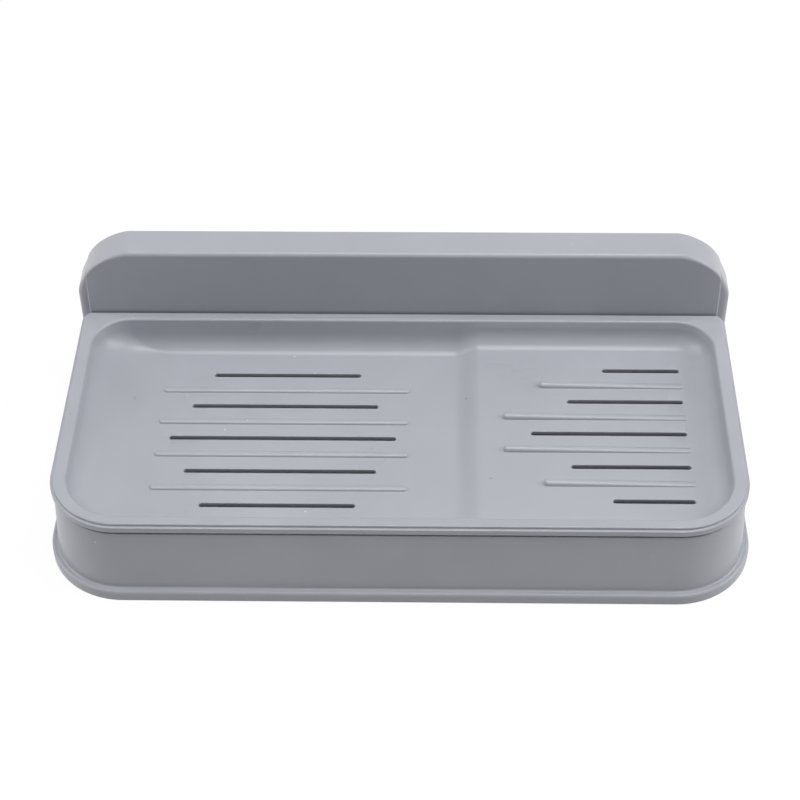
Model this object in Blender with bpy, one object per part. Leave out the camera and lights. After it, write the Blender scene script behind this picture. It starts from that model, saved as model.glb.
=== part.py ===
"""Wall-mounted soap dish: a lift-out drain tray in a water-catching holder that hooks over a wall plate.

Metres, +Z up. The wall is the plane Y = 0 and the dish stands out from it towards -Y.
The origin is the centre of the wall pad's back face.
"""

import math

import bmesh
import bpy

# Overall sizes of the dish
WIDTH = 0.2200             # across the foot flange
DEPTH = 0.1120             # from the wall to the front of the foot flange
HEIGHT = 0.0560            # from the foot to the top of the upright panel
CLEARANCE = 0.0003         # gap between pieces that seat on each other
OVERRUN = 0.0020           # how far a cutter runs past what it cuts
SINK = 0.0006              # how deep a joined form stands in its base

# Foot flange round the bottom of the holder
FOOT_HEIGHT = 0.0039
FOOT_REACH = 0.0021        # how far it stands out from the basin wall
FOOT_EDGE = 0.0010         # rounding of its upper edge
FOOT_COVE = 0.0007         # hollow where it meets the basin wall
FOOT_CORNER = 0.0250       # plan radius of the front corners
REAR_CORNER = 0.0005       # plan radius at the wall

# Basin that catches the water
BASIN_WALL = 0.0019
BASIN_FLOOR = 0.0022
BASIN_LEAN = 0.0014        # inward lean of the outer wall from the foot to its top edge
BASIN_FILLET = 0.0040      # inner radius between the wall and the floor
CAVITY_REAR_CORNER = 0.0045
REAR_LEDGE = 0.0010        # ledge in front of the panel that carries the tray's rim

# Upright panel at the wall
PANEL_INSET = 0.0050       # how far its sides stay inside the foot's
PANEL_LEAN = 0.0002        # how far each side leans in towards the top
PANEL_DEPTH = 0.0124       # at its foot
PANEL_TOP_DEPTH = 0.0120   # at its top
CORNER_WIDTH = 0.0147      # of each of its two arched top corners
CORNER_HEIGHT = 0.0105
CORNER_POWER = 1.55        # 2 would be a quarter of an ellipse, 1 a straight cut
PANEL_EDGE = 0.0014        # rounding of the front edge along the top
PANEL_SIDE_EDGE = 0.0005   # and down the sides
PANEL_WALL = 0.0021

# Shouldered body of the upright, which the panel stands proud of
PANEL_RISE = 0.0024        # how far the panel stands out from the body's front face
BODY_INSET = 0.0016        # how far the body's sides stay inside the foot's
BODY_EDGE = 0.0016         # depth of its rounded edge
BODY_COVE = 0.0005         # depth of the hollow where it meets the panel's side
EDGE_SHARE = 0.55          # part of its reach past the panel that the rounded edge takes
COVE_SHARE = 0.18          # part of that reach that the hollow takes
SHOULDER_DROP = 0.0201     # its sides begin to turn in this far below the top
SHOULDER_RADIUS = 0.0134

# Drain tray
RIM_HEIGHT = 0.0310        # top of the rim above the foot
RIM_FACE = 0.0030          # height of the rim's outer edge
RIM_OVERHANG = 0.0005      # how far the rim stands out over the basin wall
RIM_STEP_DROP = 0.0008     # the upper tier of the rim's edge
RIM_STEP_IN = 0.0005
RIM_ROUND = 0.0003         # rounding of the upper tier
RIM_REAR_CORNER = 0.0030
BAND_SIDE = 0.0050         # width of the rim's flat band
BAND_FRONT = 0.0045
BAND_REAR = 0.0029
BAND_EDGE = 0.0008         # rounding where the band turns down into the bowl
TRAY_WALL = 0.0016
BOWL_FRONT_CORNER = 0.0175
BOWL_REAR_CORNER = 0.0120
BOWL_LEAST_CORNER = 0.0045
BOWL_LEAN = 0.0004         # draft of the steep part of the bowl's wall
DEEP_FLOOR = 0.0120        # left floor below the rim
SHALLOW_FLOOR = 0.0091     # right floor below the rim
SLOPE_PLACE = 0.0215       # middle of the slope between the two floors
SLOPE_WIDTH = 0.0085
BOWL_FILLET = 0.0068       # height of the hollow between the wall and the floor
FILLET_LEFT = 0.0200       # its width along the floor, on each side
FILLET_RIGHT = 0.0090
FILLET_FRONT = 0.0070
FILLET_REAR = 0.0068

# Drain slots and ribs, in rows from back to front
REAR_ROW = 0.0303          # from the wall to the rear slot
FRONT_ROW_INSET = 0.0229   # from the front of the foot to the front slot
SLOT_ROWS = (-2, -1, 0, 1, 2)
RIB_ROWS = (-1.5, -0.5, 0.5, 1.5)
SLOT_WIDTH = 0.0020
SLOT_STEP = 0.0122         # each row outwards is shorter by this
LEFT_SLOT_INSET = 0.0358   # from the side of the foot to the middle slot of the deep floor
LEFT_SLOT_MARGIN = 0.0187  # from that slot to the slope
RIGHT_SLOT_INSET = 0.0185  # from the side of the foot to every slot of the shallow floor
RIGHT_SLOT_MARGIN = 0.0164 # from the slope to the middle slot of the shallow floor
RIB_WIDTH = 0.0018
LEFT_RIB_OVERLAP = 0.0040  # how far the deep floor's ribs pass its middle slot
RIGHT_RIB_OVERLAP = 0.0095 # how far the shallow floor's ribs pass its slots towards the slope
RIGHT_RIB_END = 0.0013     # and towards the side
RIB_FLAT_SHARE = 0.25      # part of its width that stays flat on top
LEFT_RIB_RISE = 0.0008
RIGHT_RIB_RISE = 0.0017    # at its tall end, towards the middle of the dish
RIGHT_RIB_FADE = 0.0002    # at its low end

# Wall plate with two hooks, and the adhesive pad behind it
PLATE_INSET = 0.0300       # how far its sides stay inside the foot's
PLATE_ROOM_BELOW = 0.0088  # room to lift the holder off the hooks
PLATE_ROOM_ABOVE = 0.0049
PLATE_DEPTH = 0.0020
PLATE_CORNER = 0.0060
PAD_MARGIN = 0.0030        # how far the pad stays inside the plate's outline
PAD_DEPTH = 0.0008
HOOK_WIDTH = 0.0260
HOOK_INSET = 0.0300        # from the side of the plate to the middle of a hook
HOOK_WALL = 0.0020
HOOK_CHANNEL = 0.0024      # room between the plate and the hook's lip
HOOK_RISE = 0.0066         # from the underside of the arm to the top of the lip
HOOK_GUSSET = 0.0060       # height of the web under the arm

# Rail inside the panel that hangs in the hooks
RAIL_SHELF = 0.0018        # thickness of its shelf

# Steps of the rounded forms
CORNER_STEPS = 9
FILLET_STEPS = 6
EDGE_STEPS = 3
SLOPE_STEPS = 7
END_STEPS = 5
SHARP_ANGLE = 35           # degrees
SAME_POINT = 0.000001      # points closer than this are one

GREY = (0.435, 0.440, 0.470, 1.0)
PALE = (0.700, 0.710, 0.720, 1.0)
WHITE = (0.850, 0.850, 0.840, 1.0)


def mix(start, end, share):
    return start + (end - start) * share


def quarter(steps):
    """Cosine and sine of each step from 0 to 90 degrees."""
    return [(math.cos(math.pi / 2 * i / steps), math.sin(math.pi / 2 * i / steps)) for i in range(steps + 1)]


def moulded(name, colour, roughness):
    material = bpy.data.materials.new(name)
    material.use_nodes = True
    shader = material.node_tree.nodes["Principled BSDF"]
    shader.inputs["Base Color"].default_value = colour
    shader.inputs["Roughness"].default_value = roughness
    shader.inputs["Metallic"].default_value = 0.0
    return material


def is_flat(loop):
    """Whether a loop lies in one plane square to an axis."""
    return any(max(places) - min(places) < SAME_POINT for places in zip(*loop))


def close_end(mesh, ring, loop):
    """A flat end is one face; a bent one has rungs between the ring's two halves."""
    if is_flat(loop):
        mesh.faces.new(ring)
        return
    count = len(ring)
    for i in range(count // 2 - 1):
        mesh.faces.new((ring[i], ring[i + 1], ring[count - 2 - i], ring[count - 1 - i]))


def add_loft(mesh, loops):
    """Skin a stack of equal loops and close both ends."""
    rings = [[mesh.verts.new(point) for point in loop] for loop in loops]
    count = len(rings[0])
    for ring, following in zip(rings, rings[1:]):
        for i in range(count):
            j = (i + 1) % count
            mesh.faces.new((ring[i], ring[j], following[j], following[i]))
    close_end(mesh, rings[0][::-1], loops[0])
    close_end(mesh, rings[-1], loops[-1])


def make_object(name, lofts, material=None):
    """An object whose mesh holds one closed skin for each stack of loops."""
    mesh = bmesh.new()
    for loops in lofts:
        add_loft(mesh, loops)
    bmesh.ops.remove_doubles(mesh, verts=mesh.verts, dist=SAME_POINT)
    data = bpy.data.meshes.new(name)
    mesh.to_mesh(data)
    mesh.free()
    made = bpy.data.objects.new(name, data)
    made.parent = bpy.data.objects["dish"]
    bpy.context.scene.collection.objects.link(made)
    if material:
        data.materials.append(material)
    return made


def helper(name, lofts):
    """A form that only cuts or joins another piece."""
    made = make_object(name, lofts)
    made.hide_render = True
    made.display_type = "WIRE"
    return made


def combine(piece, other, operation):
    step = piece.modifiers.new(other.name, "BOOLEAN")
    step.operation = operation
    step.solver = "EXACT"
    step.object = other


def shade(piece):
    """Rounded faces are shaded smooth, and corners stay sharp."""
    piece.data.shade_smooth()
    piece.data.set_sharp_from_angle(angle=math.radians(SHARP_ANGLE))


def plan_loop(left, right, front, back, front_radius, back_radius, height, spine=()):
    """A rounded rectangle seen from above, from the left along the front and back again.

    front and back are distances from the wall; height is a function of X, or one height.
    """
    lift = height if callable(height) else lambda x: height
    turn = quarter(CORNER_STEPS)
    row = [(left + front_radius * (1 - c), -front + front_radius * (1 - s)) for c, s in turn]
    row += [(x, -front) for x in spine]
    row += [(right - front_radius * (1 - c), -front + front_radius * (1 - s)) for c, s in reversed(turn)]
    row += [(right - back_radius * (1 - c), -back - back_radius * (1 - s)) for c, s in turn]
    row += [(x, -back) for x in reversed(spine)]
    row += [(left + back_radius * (1 - c), -back - back_radius * (1 - s)) for c, s in reversed(turn)]
    return [(x, y, lift(x)) for x, y in row]


def box_loops(left, right, front, back, low, high):
    """A plain block, as a stack of two loops."""
    corners = ((left, -front), (right, -front), (right, -back), (left, -back))
    return [[(x, y, z) for x, y in corners] for z in (low, high)]


# Holder body

def foot_loop(inset, height):
    """The foot's outline drawn in by inset; it runs through the wall plane, where it is trimmed."""
    half = WIDTH / 2 - inset
    return plan_loop(-half, half, DEPTH - inset, -OVERRUN, FOOT_CORNER - inset, REAR_CORNER, height)


def basin_top():
    return RIM_HEIGHT - RIM_FACE - CLEARANCE


def basin_loops():
    """Foot flange with a rounded edge and a cove, then the leaning wall."""
    loops = [foot_loop(0, 0)]
    for c, s in quarter(EDGE_STEPS):
        loops.append(foot_loop(FOOT_EDGE * (1 - c), FOOT_HEIGHT - FOOT_EDGE * (1 - s)))
    for c, s in quarter(EDGE_STEPS):
        loops.append(foot_loop(FOOT_REACH - FOOT_COVE * (1 - s), FOOT_HEIGHT + FOOT_COVE * (1 - c)))
    loops.append(foot_loop(FOOT_REACH + BASIN_LEAN, basin_top()))
    return loops


def panel_front(height):
    """Distance of the panel's front face from the wall."""
    share = (height - RIM_HEIGHT) / (HEIGHT - RIM_HEIGHT)
    return mix(PANEL_DEPTH, PANEL_TOP_DEPTH, max(share, 0))


def panel_half(height):
    share = (height - RIM_HEIGHT) / (HEIGHT - RIM_HEIGHT)
    return WIDTH / 2 - PANEL_INSET - PANEL_LEAN * max(share, 0)


def corner_start():
    """Height at which the panel's top corners begin."""
    return HEIGHT - CORNER_HEIGHT


def panel_side(side_inset, top_inset, low):
    """One side of the panel's outline as (half width, height), from low to the end of the corner."""
    top = min(shoulder_top(), corner_start() - SINK)
    heights = [mix(shoulder_start(), top, i / FILLET_STEPS) for i in range(FILLET_STEPS + 1)]
    side = [(panel_half(z) - side_inset, z) for z in [low] + heights]
    centre = panel_half(corner_start()) - CORNER_WIDTH
    for c, s in quarter(CORNER_STEPS):
        along = (CORNER_WIDTH - side_inset) * c ** (2 / CORNER_POWER)
        up = (CORNER_HEIGHT - top_inset) * s ** (2 / CORNER_POWER)
        side.append((centre + along, corner_start() + up))
    return side


def panel_edge(height):
    """Rounding of the panel's front edge, which grows round the corner."""
    share = (height - corner_start()) / CORNER_HEIGHT
    return mix(PANEL_SIDE_EDGE, PANEL_EDGE, max(share, 0))


def body_front():
    """Distance of the body's front face from the wall."""
    return min(PANEL_DEPTH, PANEL_TOP_DEPTH) - PANEL_RISE


def shoulder_start():
    """Height at which the body's sides begin to turn in."""
    return HEIGHT - SHOULDER_DROP


def shoulder_top():
    """Height at which the shoulder's arc meets the panel's side."""
    gap = PANEL_INSET - BODY_INSET + PANEL_LEAN / 2
    return shoulder_start() + math.sqrt(2 * SHOULDER_RADIUS * gap - gap ** 2)


def body_half(height):
    """Half width of the body, up to the point where its shoulder meets the panel's side."""
    if height >= shoulder_top():
        return 0
    rise = max(height - shoulder_start(), 0)
    return WIDTH / 2 - BODY_INSET - SHOULDER_RADIUS + math.sqrt(SHOULDER_RADIUS ** 2 - rise ** 2)


def upright_loop(reach_share, side_inset, top_inset, low, depth):
    """The upright's outline seen from the front, between the panel (0) and its body (1).

    It is drawn in by the insets. depth is the distance from the wall, or a function of the height.
    """
    place = depth if callable(depth) else lambda z: depth
    side = []
    for half, z in panel_side(side_inset, top_inset, low):
        side.append((mix(half, max(body_half(z) - side_inset, half), reach_share), z))
    right = [(x, -place(z), z) for x, z in side]
    left = [(-x, -place(z), z) for x, z in reversed(side)]
    return right + left


def upright_loops():
    """From behind the wall plane to the panel's front face."""
    low, front = FOOT_HEIGHT - FOOT_EDGE, body_front()
    loops = [upright_loop(1, 0, 0, low, -2 * OVERRUN)]
    for c, s in quarter(EDGE_STEPS):
        loops.append(upright_loop(1 - EDGE_SHARE * (1 - c), 0, 0, low, front - BODY_EDGE * (1 - s)))
    for c, s in quarter(EDGE_STEPS):
        loops.append(upright_loop(COVE_SHARE * (1 - s), 0, 0, low, front + BODY_COVE * (1 - c)))
    for c, s in quarter(EDGE_STEPS + 1):
        loops.append(upright_loop(
            0, PANEL_SIDE_EDGE * (1 - c), PANEL_EDGE * (1 - c), low,
            lambda z, s=s: panel_front(z) - panel_edge(z) * (1 - s),
        ))
    return loops


def cavity_loop(inset, height):
    """The basin's hollow, drawn in by inset from the inner face of the wall."""
    share = (height - FOOT_HEIGHT) / (basin_top() - FOOT_HEIGHT)
    outer = FOOT_REACH + BASIN_LEAN * max(share, 0) + BASIN_WALL + inset
    half = WIDTH / 2 - outer
    rear = PANEL_DEPTH + REAR_LEDGE + inset
    return plan_loop(-half, half, DEPTH - outer, rear, FOOT_CORNER - outer, CAVITY_REAR_CORNER, height)


def cavity_loops():
    loops = []
    for c, s in reversed(quarter(EDGE_STEPS)):
        loops.append(cavity_loop(BASIN_FILLET * (1 - c), BASIN_FLOOR + BASIN_FILLET * (1 - s)))
    loops.append(cavity_loop(0, basin_top()))
    loops.append(cavity_loop(0, basin_top() + OVERRUN))
    return loops


def pocket_loops():
    """The hollow behind the panel, open towards the wall and wider inside the body."""
    step = body_front() - PANEL_WALL
    return [
        upright_loop(1, PANEL_WALL, PANEL_WALL, BASIN_FLOOR, -3 * OVERRUN),
        upright_loop(1, PANEL_WALL, PANEL_WALL, BASIN_FLOOR, step),
        upright_loop(0, PANEL_WALL, PANEL_WALL, BASIN_FLOOR, step + BODY_COVE),
        upright_loop(0, PANEL_WALL, PANEL_WALL, BASIN_FLOOR, lambda z: panel_front(z) - PANEL_WALL),
    ]


def plate_front():
    """Distance of the wall plate's front face from the wall."""
    return PAD_DEPTH + CLEARANCE + PLATE_DEPTH


def plate_low():
    return BASIN_FLOOR + PLATE_ROOM_BELOW


def plate_high():
    return HEIGHT - PANEL_WALL - PLATE_ROOM_ABOVE


def mount_height():
    """Centre of the wall pad above the foot, level with the underside of the hooks' arms."""
    return (plate_low() + plate_high()) / 2


def plate_half():
    return WIDTH / 2 - PLATE_INSET


def rail_bottom():
    """Lower edge of the rail, resting in the hooks."""
    return mount_height() + HOOK_WALL + CLEARANCE


def rail_loops():
    """A shelf across the panel's hollow, with a lip that hangs down behind the hook's lip."""
    end = panel_half(RIM_HEIGHT) - PANEL_WALL + SINK
    deep = panel_front(RIM_HEIGHT) - PANEL_WALL + SINK
    shelf_low = mount_height() + HOOK_RISE + CLEARANCE
    shelf_high = shelf_low + RAIL_SHELF
    lip_back = plate_front() + CLEARANCE
    lip_front = plate_front() + HOOK_CHANNEL - CLEARANCE
    profile = (
        (deep, shelf_low), (lip_front, shelf_low), (lip_front, rail_bottom()),
        (lip_back, rail_bottom()), (lip_back, shelf_high), (deep, shelf_high),
    )
    return profile_loops(profile, -end, end)


def profile_loops(profile, left, right):
    """A profile of (distance from the wall, height), run from left to right."""
    return [[(x, -y, z) for y, z in profile] for x in (left, right)]


def wall_trim_loops():
    """Takes off whatever runs past the wall side of the holder."""
    reach = WIDTH / 2 + OVERRUN
    return box_loops(-reach, reach, CLEARANCE, -3 * OVERRUN, -OVERRUN, HEIGHT + OVERRUN)


def make_holder(material):
    holder = make_object("holder_body", [basin_loops()], material)
    combine(holder, helper("join_upright", [upright_loops()]), "UNION")
    combine(holder, helper("cut_cavity", [cavity_loops()]), "DIFFERENCE")
    combine(holder, helper("cut_pocket", [pocket_loops()]), "DIFFERENCE")
    combine(holder, helper("join_rail", [rail_loops()]), "UNION")
    combine(holder, helper("trim_wall_side", [wall_trim_loops()]), "DIFFERENCE")
    return holder


# Drain tray

def floor_drop(x):
    """Depth of the floor below the rim: deep on the left, shallow on the right, one slope between."""
    share = (x - SLOPE_PLACE) / SLOPE_WIDTH + 1 / 2
    share = min(max(share, 0), 1)
    return mix(DEEP_FLOOR, SHALLOW_FLOOR, share * share * (3 - 2 * share))


def rim_half():
    return WIDTH / 2 - FOOT_REACH - BASIN_LEAN + RIM_OVERHANG


def rim_front():
    return DEPTH - FOOT_REACH - BASIN_LEAN + RIM_OVERHANG


def rim_back():
    return PANEL_DEPTH + CLEARANCE


def slope_spine():
    start = SLOPE_PLACE - SLOPE_WIDTH / 2
    return [start + SLOPE_WIDTH * i / SLOPE_STEPS for i in range(SLOPE_STEPS + 1)]


def rim_loop(inset, height):
    """The rim's outer outline, drawn in by inset."""
    half = rim_half() - inset
    corner = FOOT_CORNER - FOOT_REACH - BASIN_LEAN + RIM_OVERHANG - inset
    return plan_loop(
        -half, half, rim_front() - inset, rim_back() + inset, corner, RIM_REAR_CORNER - inset, height,
        slope_spine(),
    )


def bowl_loop(turn, inset, height):
    """The bowl's outline: turn is a step of the floor's fillet from the wall, inset a plain distance.

    The fillet is a quarter of an ellipse, and on the left a wide even slope that fades out.
    """
    share = 1 - turn[0]
    left = rim_half() - BAND_SIDE - inset - FILLET_LEFT * (1 - math.sqrt(1 - turn[1]))
    right = rim_half() - BAND_SIDE - inset - FILLET_RIGHT * share
    front = rim_front() - BAND_FRONT - inset - FILLET_FRONT * share
    back = rim_back() + BAND_REAR + inset + FILLET_REAR * share
    shrink = inset + FILLET_FRONT * share
    return plan_loop(
        -left, right, front, back, max(BOWL_FRONT_CORNER - shrink, BOWL_LEAST_CORNER),
        max(BOWL_REAR_CORNER - shrink, BOWL_LEAST_CORNER), height, slope_spine(),
    )


def bowl_inside():
    """From the band's inner edge down to the floor."""
    steep = quarter(FILLET_STEPS)[0]
    loops = []
    for c, s in quarter(EDGE_STEPS):
        loops.append(bowl_loop(steep, BAND_EDGE * (s - 1), RIM_HEIGHT - BAND_EDGE * (1 - c)))
    for turn in quarter(FILLET_STEPS):
        rise = BOWL_FILLET * (1 - turn[1])
        loops.append(bowl_loop(turn, BOWL_LEAN, lambda x, rise=rise: RIM_HEIGHT - floor_drop(x) + rise))
    return loops


def bowl_outside():
    """The underside, one wall thickness away, from the floor up to the rim."""
    under = RIM_HEIGHT - RIM_FACE
    loops = []
    for turn in reversed(quarter(FILLET_STEPS)):
        level = RIM_HEIGHT + BOWL_FILLET * (1 - turn[1]) - TRAY_WALL * turn[1]
        out = BOWL_LEAN - TRAY_WALL * turn[0]
        loops.append(bowl_loop(turn, out, lambda x, level=level: min(level - floor_drop(x), under)))
    loops.append(bowl_loop(quarter(FILLET_STEPS)[0], -TRAY_WALL, under))
    return loops


def rim_outside():
    """The two-tier outer edge of the rim."""
    step = RIM_HEIGHT - RIM_STEP_DROP
    loops = [
        rim_loop(0, RIM_HEIGHT - RIM_FACE),
        rim_loop(0, step),
        rim_loop(RIM_STEP_IN, step),
        rim_loop(RIM_STEP_IN, RIM_HEIGHT - RIM_ROUND),
        rim_loop(RIM_STEP_IN + RIM_ROUND, RIM_HEIGHT),
    ]
    return loops


def stadium(left, right, middle, half_width, height):
    """A long round-ended outline seen from above, in the order that the lofts use."""
    angles = [math.pi / 2 * (i + 1 / 2) / (END_STEPS + 1 / 2) for i in range(END_STEPS + 1)]
    turn = [(half_width * (1 - math.cos(a)), half_width * math.sin(a)) for a in angles]
    front = [(left + along, -middle - across) for along, across in turn]
    front += [(right - along, -middle - across) for along, across in reversed(turn)]
    back = [(x, -2 * middle - y) for x, y in reversed(front)]
    return [(x, y, height) for x, y in front + back]


def row_place(row):
    """Distance of a row from the wall, counted from the middle slot."""
    front = DEPTH - FRONT_ROW_INSET
    return (REAR_ROW + front) / 2 + (front - REAR_ROW) / (len(SLOT_ROWS) - 1) * row


def left_slots():
    """Left and right end of the middle slot of the deep floor."""
    return LEFT_SLOT_INSET - WIDTH / 2, SLOPE_PLACE - SLOPE_WIDTH / 2 - LEFT_SLOT_MARGIN


def right_slots():
    """The same for the shallow floor."""
    return SLOPE_PLACE + SLOPE_WIDTH / 2 + RIGHT_SLOT_MARGIN, WIDTH / 2 - RIGHT_SLOT_INSET


def slot_spans():
    """Left end, right end and distance from the wall of each slot."""
    for row in SLOT_ROWS:
        shorter = SLOT_STEP * abs(row)
        left, right = left_slots()
        yield left + shorter / 2, right - shorter / 2, row_place(row)
        left, right = right_slots()
        yield left + shorter, right, row_place(row)


def slot_loops(left, right, place):
    low = RIM_HEIGHT - DEEP_FLOOR - TRAY_WALL - OVERRUN
    return [stadium(left, right, place, SLOT_WIDTH / 2, z) for z in (low, RIM_HEIGHT)]


def rib_spans():
    """Left end, right end, distance from the wall, and rise at the left and at the right end."""
    for row in RIB_ROWS:
        place = row_place(row)
        left, right = left_slots()
        yield left - LEFT_RIB_OVERLAP, right + LEFT_RIB_OVERLAP, place, LEFT_RIB_RISE, LEFT_RIB_RISE
        left, right = right_slots()
        start = left - RIGHT_RIB_OVERLAP + SLOT_STEP * (abs(row) - 1 / 2)
        yield start, right + RIGHT_RIB_END, place, RIGHT_RIB_RISE, RIGHT_RIB_FADE


def rib_loops(left, right, place, left_rise, right_rise):
    """A bar with a half-round back, sunk in the floor; its top falls from one end to the other."""
    floor = RIM_HEIGHT - floor_drop((left + right) / 2)
    loops = [stadium(left, right, place, RIB_WIDTH / 2, floor - SINK)]
    for c, s in quarter(EDGE_STEPS):
        inset = RIB_WIDTH / 2 * (1 - max(c, RIB_FLAT_SHARE))
        outline = stadium(left + inset, right - inset, place, RIB_WIDTH / 2 - inset, floor)
        loops.append([
            (x, y, z + s * mix(left_rise, right_rise, (x - left) / (right - left))) for x, y, z in outline
        ])
    return loops


def make_tray(material):
    tray = make_object("drain_tray", [bowl_outside() + rim_outside() + bowl_inside()], material)
    combine(tray, helper("join_ribs", [rib_loops(*span) for span in rib_spans()]), "UNION")
    combine(tray, helper("cut_slots", [slot_loops(*span) for span in slot_spans()]), "DIFFERENCE")
    return tray


# Wall plate and pad

def plate_loops(inset, back, front):
    """A rounded plate that stands against the wall, from back to front."""
    half = plate_half() - inset
    low = plate_low() + inset
    high = plate_high() - inset
    radius = PLATE_CORNER - inset
    turn = quarter(CORNER_STEPS)
    right = [(half - radius * (1 - s), low + radius * (1 - c)) for c, s in turn]
    right += [(half - radius * (1 - c), high - radius * (1 - s)) for c, s in turn]
    outline = right + [(-x, z) for x, z in reversed(right)]
    return [[(x, -y, z) for x, z in outline] for y in (back, front)]


def hook_loops(side):
    """An arm that stands out from the plate, with an upturned lip and a web beneath."""
    middle = side * (plate_half() - HOOK_INSET)
    low = mount_height()
    seat, high = low + HOOK_WALL, low + HOOK_RISE
    root = plate_front() - SINK
    lip_back = plate_front() + HOOK_CHANNEL
    lip_front = lip_back + HOOK_WALL
    profile = (
        (lip_front, high), (lip_front, low), (root, low - HOOK_GUSSET),
        (root, seat), (lip_back, seat), (lip_back, high),
    )
    return profile_loops(profile, middle - HOOK_WIDTH / 2, middle + HOOK_WIDTH / 2)


def make_plate(material):
    back = PAD_DEPTH + CLEARANCE
    plate = make_object("wall_plate", [plate_loops(0, back, plate_front())], material)
    combine(plate, helper("join_hooks", [hook_loops(side) for side in (-1, 1)]), "UNION")
    return plate


def make_pad(material):
    return make_object("adhesive_pad", [plate_loops(PAD_MARGIN, 0, PAD_DEPTH)], material)


def main():
    for old in list(bpy.data.objects):
        bpy.data.objects.remove(old, do_unlink=True)
    dish = bpy.data.objects.new("dish", None)
    dish.location.z = -mount_height()
    bpy.context.scene.collection.objects.link(dish)
    grey = moulded("grey_polypropylene", GREY, 0.45)
    pieces = [
        make_holder(grey),
        make_tray(grey),
        make_plate(moulded("clear_white_abs", PALE, 0.40)),
        make_pad(moulded("acrylic_foam_tape", WHITE, 0.80)),
    ]
    for piece in pieces:
        shade(piece)


main()
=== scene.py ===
"""Looks of a wall-mounted soap dish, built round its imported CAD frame.

Metres, +Z up. The wall is the plane Y = 0 and the dish stands out from it towards -Y.
Outlines are drawn with their heights counted from the foot, and FOOT brings them to the frame.
"""

import math

import bmesh
import bpy
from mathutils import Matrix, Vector


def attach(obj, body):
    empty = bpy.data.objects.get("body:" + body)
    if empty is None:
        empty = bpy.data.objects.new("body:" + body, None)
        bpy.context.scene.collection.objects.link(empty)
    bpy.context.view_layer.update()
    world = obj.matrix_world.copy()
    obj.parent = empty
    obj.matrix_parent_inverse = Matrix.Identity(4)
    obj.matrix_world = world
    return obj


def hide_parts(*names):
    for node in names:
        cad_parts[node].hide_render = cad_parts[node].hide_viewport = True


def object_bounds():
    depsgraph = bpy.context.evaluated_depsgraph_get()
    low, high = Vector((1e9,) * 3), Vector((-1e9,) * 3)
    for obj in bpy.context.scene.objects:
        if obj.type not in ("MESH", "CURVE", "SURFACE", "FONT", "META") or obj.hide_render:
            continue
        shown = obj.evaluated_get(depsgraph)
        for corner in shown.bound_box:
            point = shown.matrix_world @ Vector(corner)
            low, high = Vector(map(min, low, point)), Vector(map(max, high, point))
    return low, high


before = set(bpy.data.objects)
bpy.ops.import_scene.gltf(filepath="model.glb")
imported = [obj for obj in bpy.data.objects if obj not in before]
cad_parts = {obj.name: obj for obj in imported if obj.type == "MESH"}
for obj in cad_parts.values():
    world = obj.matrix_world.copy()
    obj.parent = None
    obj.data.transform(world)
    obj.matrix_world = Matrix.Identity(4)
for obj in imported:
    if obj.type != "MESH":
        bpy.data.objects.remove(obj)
cad_low, cad_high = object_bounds()

FOOT = cad_low.z           # height of the foot in the frame

# Overall sizes of the dish, the same as in the solids
WIDTH = 0.2200
DEPTH = 0.1120
HEIGHT = 0.0560
CLEARANCE = 0.0003
OVERRUN = 0.0020           # a cutter runs this far past the face that it opens
SINK = 0.0006              # joined forms run this far into each other
CREASE = 0.0003            # small rounding of edges that the mould leaves nearly sharp

# Foot flange round the bottom of the holder
FOOT_HEIGHT = 0.0039
FOOT_REACH = 0.0021
FOOT_EDGE = 0.0010
FOOT_COVE = 0.0007
FOOT_CORNER = 0.0250
REAR_CORNER = 0.0005

# Basin that catches the water
BASIN_WALL = 0.0019
BASIN_FLOOR = 0.0022
BASIN_LEAN = 0.0014
BASIN_FILLET = 0.0040
CAVITY_REAR_CORNER = 0.0045
REAR_LEDGE = 0.0010

# Upright panel at the wall
PANEL_INSET = 0.0050
PANEL_LEAN = 0.0002
PANEL_DEPTH = 0.0124
PANEL_TOP_DEPTH = 0.0120
CORNER_WIDTH = 0.0147
CORNER_HEIGHT = 0.0105
CORNER_POWER = 1.55        # 2 would be a quarter of an ellipse, 1 a straight cut
PANEL_EDGE = 0.0014
PANEL_SIDE_EDGE = 0.0005
PANEL_WALL = 0.0021
POCKET_FILLET = 0.0010

# Shouldered body of the upright, which the panel stands proud of
PANEL_RISE = 0.0024
BODY_INSET = 0.0013
BODY_EDGE = 0.0016
BODY_COVE = 0.0005
EDGE_SHARE = 0.55          # the body's rounded edge takes up this part of the step to the panel
COVE_SHARE = 0.18          # and the cove at the panel this part
SHOULDER_DROP = 0.0202
SHOULDER_HEIGHT = 0.0126

# Drain tray
RIM_HEIGHT = 0.0310
RIM_FACE = 0.0030
RIM_OVERHANG = 0.0007
RIM_STEP_DROP = 0.0009     # the upper tier of the rim's edge stands this high over the lower one
RIM_STEP_IN = 0.0009
RIM_ROUND = 0.0004
RIM_TIER_ROUND = 0.0002
RIM_GAP = 0.0012           # from the rim down to the basin's top, wider than the solids' CLEARANCE
RIM_REAR_CORNER = 0.0030
BAND_SIDE = 0.0050
BAND_FRONT = 0.0045
BAND_REAR = 0.0035
BAND_EDGE = 0.0008
TRAY_WALL = 0.0016
BOWL_FRONT_CORNER = 0.0175
BOWL_REAR_CORNER = 0.0120
BOWL_LEAST_CORNER = 0.0045
BOWL_LEAN = 0.0004
DEEP_FLOOR = 0.0120
SHALLOW_FLOOR = 0.0091
SLOPE_PLACE = 0.0215
SLOPE_WIDTH = 0.0085
BOWL_FILLET = 0.0068
LEFT_FILLET = 0.0100       # the fillet is higher at the left end, and falls to the common one
LEFT_FILLET_END = -0.0860
LEFT_SPINE_END = -0.0640   # the bowl's outlines have extra points up to this place
LEFT_SPINE_STEPS = 8
FILLET_LEFT = 0.0220
FILLET_RIGHT = 0.0090
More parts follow.
